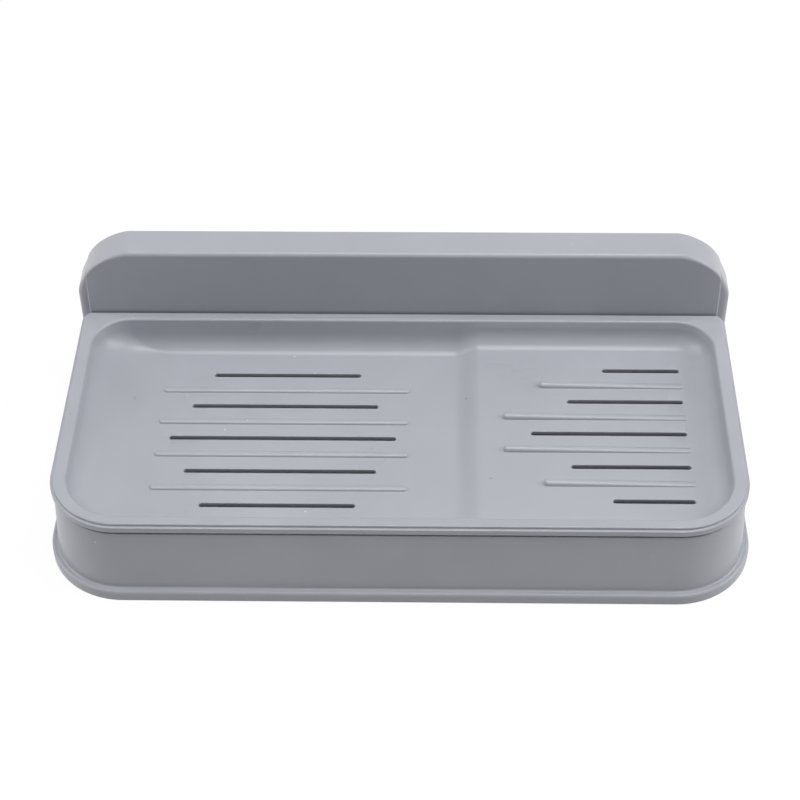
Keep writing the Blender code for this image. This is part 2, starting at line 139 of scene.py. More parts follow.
FILLET_FRONT = 0.0070
FILLET_REAR = 0.0048

# Drain slots and ribs
REAR_ROW = 0.0303
FRONT_ROW_INSET = 0.0229
SLOT_ROWS = 5
RIB_ROWS = 4
SLOT_WIDTH = 0.0016
SLOT_STEP = 0.0122
SLOT_EDGE = 0.0003         # rounding of a slot's edges
LEFT_SLOT_INSET = 0.0355
LEFT_SLOT_MARGIN = 0.0187
RIGHT_SLOT_INSET = 0.0185
RIGHT_SLOT_MARGIN = 0.0159
RIB_WIDTH = 0.0024
RIB_POWER = 0.85           # 1 would be a round back, 0 a square one
LEFT_RIB_OVERLAP = 0.0040
RIGHT_RIB_OVERLAP = 0.0090
RIGHT_RIB_END = 0.0013
LEFT_RIB_RISE = 0.0008
RIGHT_RIB_RISE = 0.0017
RIGHT_RIB_FADE = 0.0002

# Wall plate with two hooks, and the adhesive pad behind it
PLATE_INSET = 0.0300
PLATE_ROOM_BELOW = 0.0088
PLATE_ROOM_ABOVE = 0.0049
PLATE_DEPTH = 0.0020
PLATE_CORNER = 0.0060
PAD_MARGIN = 0.0030
PAD_DEPTH = 0.0008
HOOK_WIDTH = 0.0260
HOOK_INSET = 0.0300
HOOK_WALL = 0.0020
HOOK_CHANNEL = 0.0024
HOOK_RISE = 0.0066
HOOK_GUSSET = 0.0060
RAIL_SHELF = 0.0018

# Steps of the rounded forms
CORNER_STEPS = 24
PLATE_CORNER_STEPS = 12
FILLET_STEPS = 14
EDGE_STEPS = 7
CREASE_STEPS = 3
SLOPE_STEPS = 24
SHARP_ANGLE = 32           # degrees
FLAT_FACE_WEIGHT = 80      # how far large faces lead the shading
SAME_POINT = 0.000001
GRAZE = 0.06               # a rounded cutter runs past the face by this share of its radius

# Camera, fitted to the photo's straight edges and corners
CAMERA_PLACE = (0.0107, -0.4886, 0.4211)
CAMERA_TURN = (45.967, 0.470, 0.983)       # degrees
CAMERA_LENS = 85.33
CAMERA_SENSOR = 36.0

# Light: one softbox above and one on each side, and a faint pale studio round them
SOFTBOX_SIDE = 0.90
SOFTBOXES = (              # name, place, power in watts
    ("overhead_softbox", (0.14, -0.14, 1.38), 11.0),
    ("right_softbox", (1.21, 0.00, 0.70), 8.4),
    ("left_softbox", (-1.21, 0.00, 0.70), 7.1),
)
STUDIO_GLOW = 0.08         # strength of the light from all round
FLOOR_SIDE = 4.0
FLOOR_BOUNCE = 0.70
FLOOR_SHADE_SHARE = 0.10   # part of the floor's brightness that the dish can shade
FLOOR_SHADE_NEAR = 0.25    # it fades out between these distances from the dish
FLOOR_SHADE_FAR = 0.70
FLOOR_GLOW = 1.03


# Colours, materials

def linear(code):
    """An sRGB hex value as linear red, green, blue and alpha."""
    parts = [int(code[i:i + 2], 16) / 255 for i in (1, 3, 5)]
    return [p / 12.92 if p <= 0.04045 else ((p + 0.055) / 1.055) ** 2.4 for p in parts] + [1.0]


def add_node(tree, kind, inputs=None, **settings):
    """Add a node with its settings; inputs gives a socket a value, or another node's output."""
    node = tree.nodes.new(kind)
    for name, value in settings.items():
        setattr(node, name, value)
    for key, value in (inputs or {}).items():
        if isinstance(value, bpy.types.NodeSocket):
            tree.links.new(value, node.inputs[key])
        else:
            node.inputs[key].default_value = value
    return node


def per_metre(millimetres):
    """Scale of a pattern on Object coordinates whose features have this size."""
    return 1000 / millimetres


def new_material(name):
    """An empty material, its tree, and the Object coordinates that its patterns follow."""
    material = bpy.data.materials.new(name)
    material.use_nodes = True
    tree = material.node_tree
    tree.nodes.clear()
    return material, tree, add_node(tree, "ShaderNodeTexCoord").outputs["Object"]


def coat(tree, relief, surface):
    """End a material with one surface in a fine relief, each given by the names of its sockets."""
    bump = add_node(tree, "ShaderNodeBump", relief)
    normal = bump.outputs["Normal"]
    shader = add_node(tree, "ShaderNodeBsdfPrincipled", dict(surface, Normal=normal))
    add_node(tree, "ShaderNodeOutputMaterial", {"Surface": shader.outputs["BSDF"]})


def moulded_polypropylene():
    """Grey polypropylene, injection moulded in a fine spark-eroded mould.

    The mould's grain breaks the gloss into a soft satin sheen. The pigment drifts a little in
    tone where the melt met, and a few pale and dark specks of dust lie on the surface.
    """
    material, tree, place = new_material("moulded_grey_polypropylene")

    flow = add_node(tree, "ShaderNodeTexNoise", {
        "Vector": place, "Scale": per_metre(38), "Detail": 3.0, "Roughness": 0.55, "Distortion": 0.6,
    })
    tone = add_node(tree, "ShaderNodeMapRange", {
        "Value": flow.outputs["Fac"], "From Min": 0.32, "From Max": 0.68,
    })
    pigment = add_node(tree, "ShaderNodeMix", {
        0: tone.outputs["Result"], 6: linear("#B2B4BC"), 7: linear("#B7B9C1"),
    }, data_type="RGBA")

    # Dust: one speck in a few of the cells of a 7 mm pattern
    cells = add_node(tree, "ShaderNodeTexVoronoi", {"Vector": place, "Scale": per_metre(7)})
    chance = add_node(tree, "ShaderNodeSeparateColor", {"Color": cells.outputs["Color"]})
    reach = add_node(tree, "ShaderNodeMapRange", {
        "Value": chance.outputs["Green"], "To Min": 0.018, "To Max": 0.042,
    })
    inside = add_node(tree, "ShaderNodeMath", {
        0: cells.outputs["Distance"], 1: reach.outputs["Result"],
    }, operation="LESS_THAN")
    specked = pigment.outputs[2]
    for test, limit, colour in (("GREATER_THAN", 0.80, "#E6E7EA"), ("LESS_THAN", 0.10, "#6E6F74")):
        chosen = add_node(tree, "ShaderNodeMath", {0: chance.outputs["Red"], 1: limit}, operation=test)
        speck = add_node(tree, "ShaderNodeMath", {
            0: inside.outputs[0], 1: chosen.outputs[0],
        }, operation="MULTIPLY")
        specked = add_node(tree, "ShaderNodeMix", {
            0: speck.outputs[0], 6: specked, 7: linear(colour),
        }, data_type="RGBA").outputs[2]

    # The real grain is about 0.05 mm, too fine to show, so it is drawn at 0.25 mm
    grain = add_node(tree, "ShaderNodeTexNoise", {
        "Vector": place, "Scale": per_metre(0.25), "Detail": 2.0, "Roughness": 0.6,
    })
    gloss = add_node(tree, "ShaderNodeMapRange", {
        "Value": flow.outputs["Fac"], "From Min": 0.3, "From Max": 0.7, "To Min": 0.27, "To Max": 0.33,
    })
    coat(tree, {"Height": grain.outputs["Fac"], "Strength": 0.10, "Distance": 0.00005}, {
        "Base Color": specked, "Roughness": gloss.outputs["Result"], "IOR": 1.49,
    })
    return material


def moulded_abs():
    """Off-white ABS, injection moulded: a little glossier than polypropylene, with faint flow marks."""
    material, tree, place = new_material("moulded_pale_abs")
    flow = add_node(tree, "ShaderNodeTexNoise", {
        "Vector": place, "Scale": per_metre(30), "Detail": 3.0, "Distortion": 0.8,
    })
    pigment = add_node(tree, "ShaderNodeMix", {
        0: flow.outputs["Fac"], 6: linear("#CFD0D1"), 7: linear("#D6D7D8"),
    }, data_type="RGBA")
    grain = add_node(tree, "ShaderNodeTexNoise", {
        "Vector": place, "Scale": per_metre(0.4), "Detail": 2.0,
    })
    gloss = add_node(tree, "ShaderNodeMapRange", {
        "Value": flow.outputs["Fac"], "To Min": 0.30, "To Max": 0.42,
    })
    coat(tree, {"Height": grain.outputs["Fac"], "Strength": 0.15, "Distance": 0.00005}, {
        "Base Color": pigment.outputs[2], "Roughness": gloss.outputs["Result"], "IOR": 1.53,
    })
    return material


def acrylic_foam():
    """White acrylic foam tape, cast: matt, with small closed cells that pit its face; the pits are also
    darkened in colour, as painted shade.
    """
    material, tree, place = new_material("acrylic_foam_tape")
    cells = add_node(tree, "ShaderNodeTexVoronoi", {"Vector": place, "Scale": per_metre(0.7)})
    pits = add_node(tree, "ShaderNodeMapRange", {
        "Value": cells.outputs["Distance"], "From Min": 0.1, "From Max": 0.6,
    })
    cloud = add_node(tree, "ShaderNodeTexNoise", {"Vector": place, "Scale": per_metre(6), "Detail": 4.0})
    body = add_node(tree, "ShaderNodeMix", {
        0: cloud.outputs["Fac"], 6: linear("#DADAD6"), 7: linear("#E6E6E2"),
    }, data_type="RGBA")
    # Painted shade: the colour darkens towards the middle of each pit, where the bump dents the face
    pits_with_painted_shade = add_node(tree, "ShaderNodeMix", {
        0: pits.outputs["Result"], 6: linear("#C9C9C5"), 7: body.outputs[2],
    }, data_type="RGBA")
    coat(tree, {"Height": pits.outputs["Result"], "Strength": 0.35, "Distance": 0.0001}, {
        "Base Color": pits_with_painted_shade.outputs[2], "Roughness": 0.85, "IOR": 1.47,
    })
    return material


def looked_at(tree):
    """1 where the eye sees a surface, directly, in a gloss or through a clear piece, otherwise 0."""
    ray = add_node(tree, "ShaderNodeLightPath")
    seen = add_node(tree, "ShaderNodeMath", {
        0: ray.outputs["Is Camera Ray"], 1: ray.outputs["Is Glossy Ray"],
    }, operation="MAXIMUM")
    return add_node(tree, "ShaderNodeMath", {
        0: seen.outputs[0], 1: ray.outputs["Is Transmission Ray"],
    }, operation="MAXIMUM").outputs[0]


def studio_floor():
    """Matt white studio floor: white to the eye, and it keeps the dish's soft shadow."""
    material, tree, place = new_material("white_studio_floor")
    bounce = add_node(tree, "ShaderNodeBsdfDiffuse", {"Color": [FLOOR_BOUNCE] * 3 + [1.0]})
    shaded = add_node(tree, "ShaderNodeBsdfDiffuse", {"Color": linear("#F4F4F4")})
    glow = add_node(tree, "ShaderNodeEmission", {"Color": linear("#FFFFFF"), "Strength": FLOOR_GLOW})
    away = add_node(tree, "ShaderNodeVectorMath", {0: place}, operation="LENGTH")
    share = add_node(tree, "ShaderNodeMapRange", {
        "Value": away.outputs["Value"], "From Min": FLOOR_SHADE_NEAR, "From Max": FLOOR_SHADE_FAR,
        "To Min": FLOOR_SHADE_SHARE, "To Max": 0.0,
    })
    shown = add_node(tree, "ShaderNodeMixShader", {
        0: share.outputs["Result"], 1: glow.outputs["Emission"], 2: shaded.outputs["BSDF"],
    })
    surface = add_node(tree, "ShaderNodeMixShader", {
        0: looked_at(tree), 1: bounce.outputs["BSDF"], 2: shown.outputs["Shader"],
    })
    add_node(tree, "ShaderNodeOutputMaterial", {"Surface": surface.outputs["Shader"]})
    return material


# Meshes

def mix(start, end, share):
    return start + (end - start) * share


def quarter(steps):
    """Cosine and sine of each step from 0 to 90 degrees."""
    angles = [math.pi / 2 * i / steps for i in range(steps + 1)]
    return [(math.cos(angle), math.sin(angle)) for angle in angles]


def is_flat(loop):
    """Whether a loop lies in one plane square to an axis."""
    return any(max(places) - min(places) < SAME_POINT for places in zip(*loop))


def close_end(mesh, ring, loop):
    """A flat end is one face; a bent one has rungs between the ring's two halves."""
    if is_flat(loop):
        mesh.faces.new(ring)
        return
    count = len(ring)
    for i in range(count // 2 - 1):
        mesh.faces.new((ring[i], ring[i + 1], ring[count - 2 - i], ring[count - 1 - i]))


def lofted(name, loops):
    """An object that skins a stack of equal loops and closes both ends."""
    mesh = bmesh.new()
    rings = [[mesh.verts.new((x, y, z + FOOT)) for x, y, z in loop] for loop in loops]
    count = len(rings[0])
    for ring, following in zip(rings, rings[1:]):
        for i in range(count):
            j = (i + 1) % count
            mesh.faces.new((ring[i], ring[j], following[j], following[i]))
    close_end(mesh, rings[0][::-1], loops[0])
    close_end(mesh, rings[-1], loops[-1])
    bmesh.ops.remove_doubles(mesh, verts=mesh.verts, dist=SAME_POINT)
    bmesh.ops.recalc_face_normals(mesh, faces=mesh.faces)
    data = bpy.data.meshes.new(name)
    mesh.to_mesh(data)
    mesh.free()
    made = bpy.data.objects.new(name, data)
    bpy.context.scene.collection.objects.link(made)
    return made


def bake_modifiers(piece):
    """Turn what a piece's modifiers make into its plain mesh."""
    graph = bpy.context.evaluated_depsgraph_get()
    data = bpy.data.meshes.new_from_object(piece.evaluated_get(graph))
    piece.modifiers.clear()
    piece.data = data


def combine(piece, other, operation):
    step = piece.modifiers.new(other.name, "BOOLEAN")
    step.operation = operation
    step.solver = "EXACT"
    step.object = other
    bake_modifiers(piece)
    bpy.data.objects.remove(other)


def shape_by_nodes(piece, tree, values):
    """Run a Geometry Nodes tree on a piece, with values for its named inputs."""
    step = piece.modifiers.new(tree.name, "NODES")
    step.node_group = tree
    for item in tree.interface.items_tree:
        if item.name in values:
            step[item.identifier] = values[item.name]
    bake_modifiers(piece)


def finish_surface(piece, material):
    """Smooth shading that stays flat on flat faces and breaks at sharp edges."""
    piece.data.shade_smooth()
    piece.data.set_sharp_from_angle(angle=math.radians(SHARP_ANGLE))
    step = piece.modifiers.new("flat_faces_lead", "WEIGHTED_NORMAL")
    step.keep_sharp = True
    step.weight = FLAT_FACE_WEIGHT
    bake_modifiers(piece)
    piece.data.materials.clear()
    piece.data.materials.append(material)


def plan_loop(left, right, front, back, front_radius, back_radius, height, spine=(), ramp_end=None):
    """A rounded rectangle seen from above, from the left along the front and back again.

    front and back are distances from the wall; height is a function of X, or one height. Its
    long sides have points at the spine's places, and between the left corners and ramp_end.
    """
    lift = height if callable(height) else lambda x: height
    turn = quarter(CORNER_STEPS)
    steps = () if ramp_end is None else [i / LEFT_SPINE_STEPS for i in range(1, LEFT_SPINE_STEPS + 1)]
    row = [(left + front_radius * (1 - c), -front + front_radius * (1 - s)) for c, s in turn]
    row += [(mix(left + front_radius, ramp_end, share), -front) for share in steps]
    row += [(x, -front) for x in spine]
    row += [(right - front_radius * (1 - c), -front + front_radius * (1 - s)) for c, s in reversed(turn)]
    row += [(right - back_radius * (1 - c), -back - back_radius * (1 - s)) for c, s in turn]
    row += [(x, -back) for x in reversed(spine)]
    row += [(mix(left + back_radius, ramp_end, share), -back) for share in reversed(steps)]
    row += [(left + back_radius * (1 - c), -back - back_radius * (1 - s)) for c, s in reversed(turn)]
    return [(x, y, lift(x)) for x, y in row]


# Holder: foot, basin and hollow upright panel in one moulding

def foot_loop(inset, height):
    """The foot's outline drawn in by inset; it runs through the wall plane, where it is trimmed."""
    half = WIDTH / 2 - inset
    return plan_loop(-half, half, DEPTH - inset, -OVERRUN, FOOT_CORNER - inset, REAR_CORNER, height)


def basin_top():
    return RIM_HEIGHT - RIM_FACE - RIM_GAP


def basin_loops():
    """Foot flange with a rounded edge and a cove, then the leaning wall with a softened top."""
    loops = [foot_loop(CREASE * (1 - s), CREASE * (1 - c)) for c, s in quarter(CREASE_STEPS)]
    for c, s in quarter(EDGE_STEPS):
        loops.append(foot_loop(FOOT_EDGE * (1 - c), FOOT_HEIGHT - FOOT_EDGE * (1 - s)))
    for c, s in quarter(EDGE_STEPS):
        loops.append(foot_loop(FOOT_REACH - FOOT_COVE * (1 - s), FOOT_HEIGHT + FOOT_COVE * (1 - c)))
    for c, s in quarter(CREASE_STEPS):
        inset = FOOT_REACH + BASIN_LEAN + CREASE * (1 - c)
        loops.append(foot_loop(inset, basin_top() - CREASE * (1 - s)))
    return loops


def panel_front(height):
    """Distance of the panel's front face from the wall."""
    share = (height - RIM_HEIGHT) / (HEIGHT - RIM_HEIGHT)
    return mix(PANEL_DEPTH, PANEL_TOP_DEPTH, max(share, 0))


def panel_half(height):
    share = (height - RIM_HEIGHT) / (HEIGHT - RIM_HEIGHT)
    return WIDTH / 2 - PANEL_INSET - PANEL_LEAN * max(share, 0)


def corner_start():
    """Height at which the panel's top corners begin."""
    return HEIGHT - CORNER_HEIGHT


def panel_side(side_inset, top_inset, low):
    """One side of the panel's outline as (half width, height), from low to the end of the corner."""
    top = corner_start() - SINK
    heights = [mix(shoulder_start(), top, i / FILLET_STEPS) for i in range(FILLET_STEPS + 1)]
    side = [(panel_half(z) - side_inset, z) for z in [low] + heights]
    centre = panel_half(corner_start()) - CORNER_WIDTH
    for c, s in quarter(CORNER_STEPS):
        along = (CORNER_WIDTH - side_inset) * c ** (2 / CORNER_POWER)
        up = (CORNER_HEIGHT - top_inset) * s ** (2 / CORNER_POWER)
        side.append((centre + along, corner_start() + up))
    return side


def panel_edge(height):
    """Rounding of the panel's front edge, which grows round the corner."""
    share = (height - corner_start()) / CORNER_HEIGHT
    return mix(PANEL_SIDE_EDGE, PANEL_EDGE, max(share, 0))


def body_front():
    """Distance of the body's front face from the wall."""
    return min(PANEL_DEPTH, PANEL_TOP_DEPTH) - PANEL_RISE


def shoulder_start():
    """Height at which the body's sides begin to turn in."""
    return HEIGHT - SHOULDER_DROP


def body_reach(height):
    """How far the body stands out beside the panel; its shoulder runs into the corner in an S."""
    share = min(max((height - shoulder_start()) / SHOULDER_HEIGHT, 0), 1)
    return (PANEL_INSET - BODY_INSET) * (1 + math.cos(math.pi * share)) / 2


def upright_loop(reach_share, side_inset, top_inset, low, depth):
    """The upright's outline seen from the front, between the panel (0) and its body (1).

    It is drawn in by the insets. depth is the distance from the wall, or a function of the height.
    """
    place = depth if callable(depth) else lambda z: depth
    side = []
    for half, z in panel_side(side_inset, top_inset, low):
        side.append((half + body_reach(z) * reach_share, -place(z), z))
    return side + [(-x, y, z) for x, y, z in reversed(side)]


def upright_loops():
    """From behind the wall plane to the panel's front face."""
    low, front = FOOT_HEIGHT - FOOT_EDGE, body_front()
    loops = [upright_loop(1, 0, 0, low, -2 * OVERRUN)]
    for c, s in quarter(EDGE_STEPS):
        loops.append(upright_loop(1 - EDGE_SHARE * (1 - c), 0, 0, low, front - BODY_EDGE * (1 - s)))
    for c, s in quarter(EDGE_STEPS):
        loops.append(upright_loop(COVE_SHARE * (1 - s), 0, 0, low, front + BODY_COVE * (1 - c)))
    for c, s in quarter(EDGE_STEPS + 1):
        loops.append(upright_loop(
            0, PANEL_SIDE_EDGE * (1 - c), PANEL_EDGE * (1 - c), low,
            lambda z, s=s: panel_front(z) - panel_edge(z) * (1 - s),
        ))
    return loops


def cavity_loop(inset, height):
    """The basin's hollow, drawn in by inset from the inner face of the wall."""
    share = (height - FOOT_HEIGHT) / (basin_top() - FOOT_HEIGHT)
    outer = FOOT_REACH + BASIN_LEAN * max(share, 0) + BASIN_WALL + inset
    half = WIDTH / 2 - outer
    rear = PANEL_DEPTH + REAR_LEDGE + inset
    return plan_loop(-half, half, DEPTH - outer, rear, FOOT_CORNER - outer, CAVITY_REAR_CORNER, height)


def cavity_loops():
    loops = []
    for c, s in reversed(quarter(FILLET_STEPS)):
        loops.append(cavity_loop(BASIN_FILLET * (1 - c), BASIN_FLOOR + BASIN_FILLET * (1 - s)))
    for c, s in quarter(CREASE_STEPS):
        loops.append(cavity_loop(-CREASE * (1 - c), basin_top() - CREASE * (1 - GRAZE - s)))
    loops.append(cavity_loop(-CREASE, basin_top() + OVERRUN))
    return loops


def pocket_loop(reach_share, inset, depth):
    drawn_in = PANEL_WALL + inset
    return upright_loop(reach_share, drawn_in, drawn_in, BASIN_FLOOR + inset, depth)


def pocket_loops():
    """The hollow behind the panel, open towards the wall and wider inside the body."""
    step = body_front() - PANEL_WALL
    loops = [pocket_loop(1, 0, -3 * OVERRUN), pocket_loop(1, 0, step)]
    loops.append(pocket_loop(0, 0, step + BODY_COVE))
    for c, s in quarter(EDGE_STEPS):
        back = PANEL_WALL + POCKET_FILLET * (1 - s)
        loops.append(pocket_loop(0, POCKET_FILLET * (1 - c), lambda z, back=back: panel_front(z) - back))
    return loops


def plate_front():
    """Distance of the wall plate's front face from the wall."""
    return PAD_DEPTH + CLEARANCE + PLATE_DEPTH


def plate_low():
    return BASIN_FLOOR + PLATE_ROOM_BELOW


def plate_high():
    return HEIGHT - PANEL_WALL - PLATE_ROOM_ABOVE


def mount_height():
    return (plate_low() + plate_high()) / 2


def plate_half():
    return WIDTH / 2 - PLATE_INSET


def profile_loops(profile, left, right):
    """A profile of (distance from the wall, height), run from left to right."""
    return [[(x, -y, z) for y, z in profile] for x in (left, right)]


def rail_loops():
    """A shelf across the panel's hollow, with a lip that hangs down behind the hook's lip."""
    end = panel_half(RIM_HEIGHT) - PANEL_WALL + SINK
    deep = panel_front(RIM_HEIGHT) - PANEL_WALL + SINK
    low = mount_height() + HOOK_WALL + CLEARANCE
    shelf_low = mount_height() + HOOK_RISE + CLEARANCE
    shelf_high = shelf_low + RAIL_SHELF
    lip_back = plate_front() + CLEARANCE
    lip_front = plate_front() + HOOK_CHANNEL - CLEARANCE
    profile = (
        (deep, shelf_low), (lip_front, shelf_low), (lip_front, low),
        (lip_back, low), (lip_back, shelf_high), (deep, shelf_high),
    )
    return profile_loops(profile, -end, end)


def wall_trim_loops():
    """Takes off whatever runs past the wall side of the holder."""
    reach = WIDTH / 2 + OVERRUN
    corners = ((-reach, -CLEARANCE), (reach, -CLEARANCE), (reach, 3 * OVERRUN), (-reach, 3 * OVERRUN))
    return [[(x, y, z) for x, y in corners] for z in (-OVERRUN, HEIGHT + OVERRUN)]


def make_holder(material):
    holder = lofted("holder_moulding", basin_loops())
    combine(holder, lofted("join_upright", upright_loops()), "UNION")
    combine(holder, lofted("cut_cavity", cavity_loops()), "DIFFERENCE")
    combine(holder, lofted("cut_pocket", pocket_loops()), "DIFFERENCE")
    combine(holder, lofted("join_rail", rail_loops()), "UNION")
    combine(holder, lofted("trim_wall_side", wall_trim_loops()), "DIFFERENCE")
    finish_surface(holder, material)
    return holder


# Drain tray

def floor_drop(x):
    """Depth of the floor below the rim: deep on the left, shallow on the right, one slope between."""
    share = (x - SLOPE_PLACE) / SLOPE_WIDTH + 1 / 2
    share = min(max(share, 0), 1)
    return mix(DEEP_FLOOR, SHALLOW_FLOOR, share * share * (3 - 2 * share))


def rim_half():
    return WIDTH / 2 - FOOT_REACH - BASIN_LEAN + RIM_OVERHANG


def rim_front():
    return DEPTH - FOOT_REACH - BASIN_LEAN + RIM_OVERHANG


def rim_back():
    return PANEL_DEPTH + CLEARANCE


def slope_spine():
    start = SLOPE_PLACE - SLOPE_WIDTH / 2
    return [start + SLOPE_WIDTH * i / SLOPE_STEPS for i in range(SLOPE_STEPS + 1)]


def rim_loop(inset, height):
    """The rim's outer outline, drawn in by inset."""
    half = rim_half() - inset
    corner = FOOT_CORNER - FOOT_REACH - BASIN_LEAN + RIM_OVERHANG - inset
    return plan_loop(
        -half, half, rim_front() - inset, rim_back() + min(inset, CREASE), corner,
        RIM_REAR_CORNER - inset, height, slope_spine(), LEFT_SPINE_END,
    )


def fillet_rise(x):
    """Height of the floor's fillet: nearly the whole wall at the left end, and less elsewhere."""
    start = BAND_SIDE - rim_half()
    share = min(max((x - start) / (LEFT_FILLET_END - start), 0), 1)
    return mix(LEFT_FILLET, BOWL_FILLET, share * share * (3 - 2 * share))


def bowl_loop(turn, inset, height):
    """The bowl's outline: turn is a step of the floor's fillet from the wall, inset a plain distance.

    The fillet is a quarter of an ellipse, which reaches far into the floor on the left.
    """
    share = 1 - turn[0]
    left = rim_half() - BAND_SIDE - inset - FILLET_LEFT * share
    right = rim_half() - BAND_SIDE - inset - FILLET_RIGHT * share
    front = rim_front() - BAND_FRONT - inset - FILLET_FRONT * share
    back = rim_back() + BAND_REAR + inset + FILLET_REAR * share
    shrink = inset + FILLET_FRONT * share
    return plan_loop(
        -left, right, front, back, max(BOWL_FRONT_CORNER - shrink, BOWL_LEAST_CORNER),
        max(BOWL_REAR_CORNER - shrink, BOWL_LEAST_CORNER), height, slope_spine(), LEFT_SPINE_END,
    )


def bowl_level(x, low):
    """Height of the bowl's inner face; low runs from 0 at the top of the fillet to 1 on the floor."""
    return RIM_HEIGHT - floor_drop(x) + fillet_rise(x) * (1 - low)


def bowl_inside():
    """From the band's inner edge down to the floor."""
    steep = quarter(FILLET_STEPS)[0]
    loops = []
    for c, s in quarter(EDGE_STEPS):
        loops.append(bowl_loop(steep, BAND_EDGE * (s - 1), RIM_HEIGHT - BAND_EDGE * (1 - c)))
    for turn in quarter(FILLET_STEPS):
        loops.append(bowl_loop(turn, BOWL_LEAN, lambda x, low=turn[1]: bowl_level(x, low)))
    return loops


def bowl_outside():
    """The underside, one wall thickness away, from the floor up to the rim."""
    under = RIM_HEIGHT - RIM_FACE
    loops = []
    for turn in reversed(quarter(FILLET_STEPS)):
        out = BOWL_LEAN - TRAY_WALL * turn[0]
        loops.append(bowl_loop(
            turn, out, lambda x, low=turn[1]: min(bowl_level(x, low) - TRAY_WALL * low, under),
        ))
    loops.append(bowl_loop(quarter(FILLET_STEPS)[0], -TRAY_WALL, under))
    return loops


def rim_outside():
    """The two-tier outer edge of the rim, with each edge softened; its rear side has one tier."""
    under = RIM_HEIGHT - RIM_FACE
    step = RIM_HEIGHT - RIM_STEP_DROP
    turn = quarter(CREASE_STEPS)
    loops = [rim_loop(CREASE * (1 - s), under + CREASE * (1 - c)) for c, s in turn]
    loops += [rim_loop(RIM_TIER_ROUND * (1 - c), step - RIM_TIER_ROUND * (1 - s)) for c, s in turn]
    loops.append(rim_loop(RIM_STEP_IN, step))
    for c, s in quarter(EDGE_STEPS):
        loops.append(rim_loop(RIM_STEP_IN + RIM_ROUND * (1 - c), RIM_HEIGHT - RIM_ROUND * (1 - s)))
    return loops


def row_pitch():
    return (DEPTH - FRONT_ROW_INSET - REAR_ROW) / (SLOT_ROWS - 1)


def middle_row():
    """Distance of the middle slot from the wall."""
    return (DEPTH - FRONT_ROW_INSET + REAR_ROW) / 2


def new_tree(name, inputs, results=(("Geometry", "Geometry"),)):
    """A Geometry Nodes tree with named inputs and results; returns it and what it is given."""
    tree = bpy.data.node_groups.new(name, "GeometryNodeTree")
    for way, sockets in (("OUTPUT", results), ("INPUT", inputs)):
        for socket, kind in sockets:
            tree.interface.new_socket(socket, in_out=way, socket_type="NodeSocket" + kind)
    return tree, tree.nodes.new("NodeGroupInput").outputs


def close_tree(tree, given, geometry):
    """End a tree: make its copies real, and give the result the material that it is given."""
    real = add_node(tree, "GeometryNodeRealizeInstances", {"Geometry": geometry})
    finished = add_node(tree, "GeometryNodeSetMaterial", {
        "Geometry": real.outputs["Geometry"], "Material": given["Material"],
    })
    add_node(tree, "NodeGroupOutput", {"Geometry": finished.outputs["Geometry"]})


def row_span_tree():
    """Half length and middle of a row whose length steps down from the middle rows outwards."""
    tree, given = new_tree("Stepped row", (
        ("Row", "Int"), ("Rows", "Int"), ("Longest", "Float"), ("Step", "Float"),
        ("Anchor", "Float"), ("Align", "Float"),
    ), results=(("Half length", "Float"), ("Middle", "Float")))
    last = add_node(tree, "ShaderNodeMath", {0: given["Rows"], 1: 1.0}, operation="SUBTRACT")
    middle = add_node(tree, "ShaderNodeMath", {0: last.outputs[0], 1: 2.0}, operation="DIVIDE")
    away = add_node(tree, "ShaderNodeMath", {
        0: given["Row"], 1: middle.outputs[0],
    }, operation="SUBTRACT")
    distance = add_node(tree, "ShaderNodeMath", {0: away.outputs[0]}, operation="ABSOLUTE")
    steps = add_node(tree, "ShaderNodeMath", {0: distance.outputs[0]}, operation="FLOOR")
    shorter = add_node(tree, "ShaderNodeMath", {
        0: steps.outputs[0], 1: given["Step"],
    }, operation="MULTIPLY")
    length = add_node(tree, "ShaderNodeMath", {
        0: given["Longest"], 1: shorter.outputs[0],
    }, operation="SUBTRACT")
    half = add_node(tree, "ShaderNodeMath", {0: length.outputs[0], 1: 2.0}, operation="DIVIDE")
    aligned = add_node(tree, "ShaderNodeMath", {
        0: half.outputs[0], 1: given["Align"],
    }, operation="MULTIPLY")
    centre = add_node(tree, "ShaderNodeMath", {
        0: given["Anchor"], 1: aligned.outputs[0],
    }, operation="SUBTRACT")
    add_node(tree, "NodeGroupOutput", {"Half length": half.outputs[0], "Middle": centre.outputs[0]})
    return tree


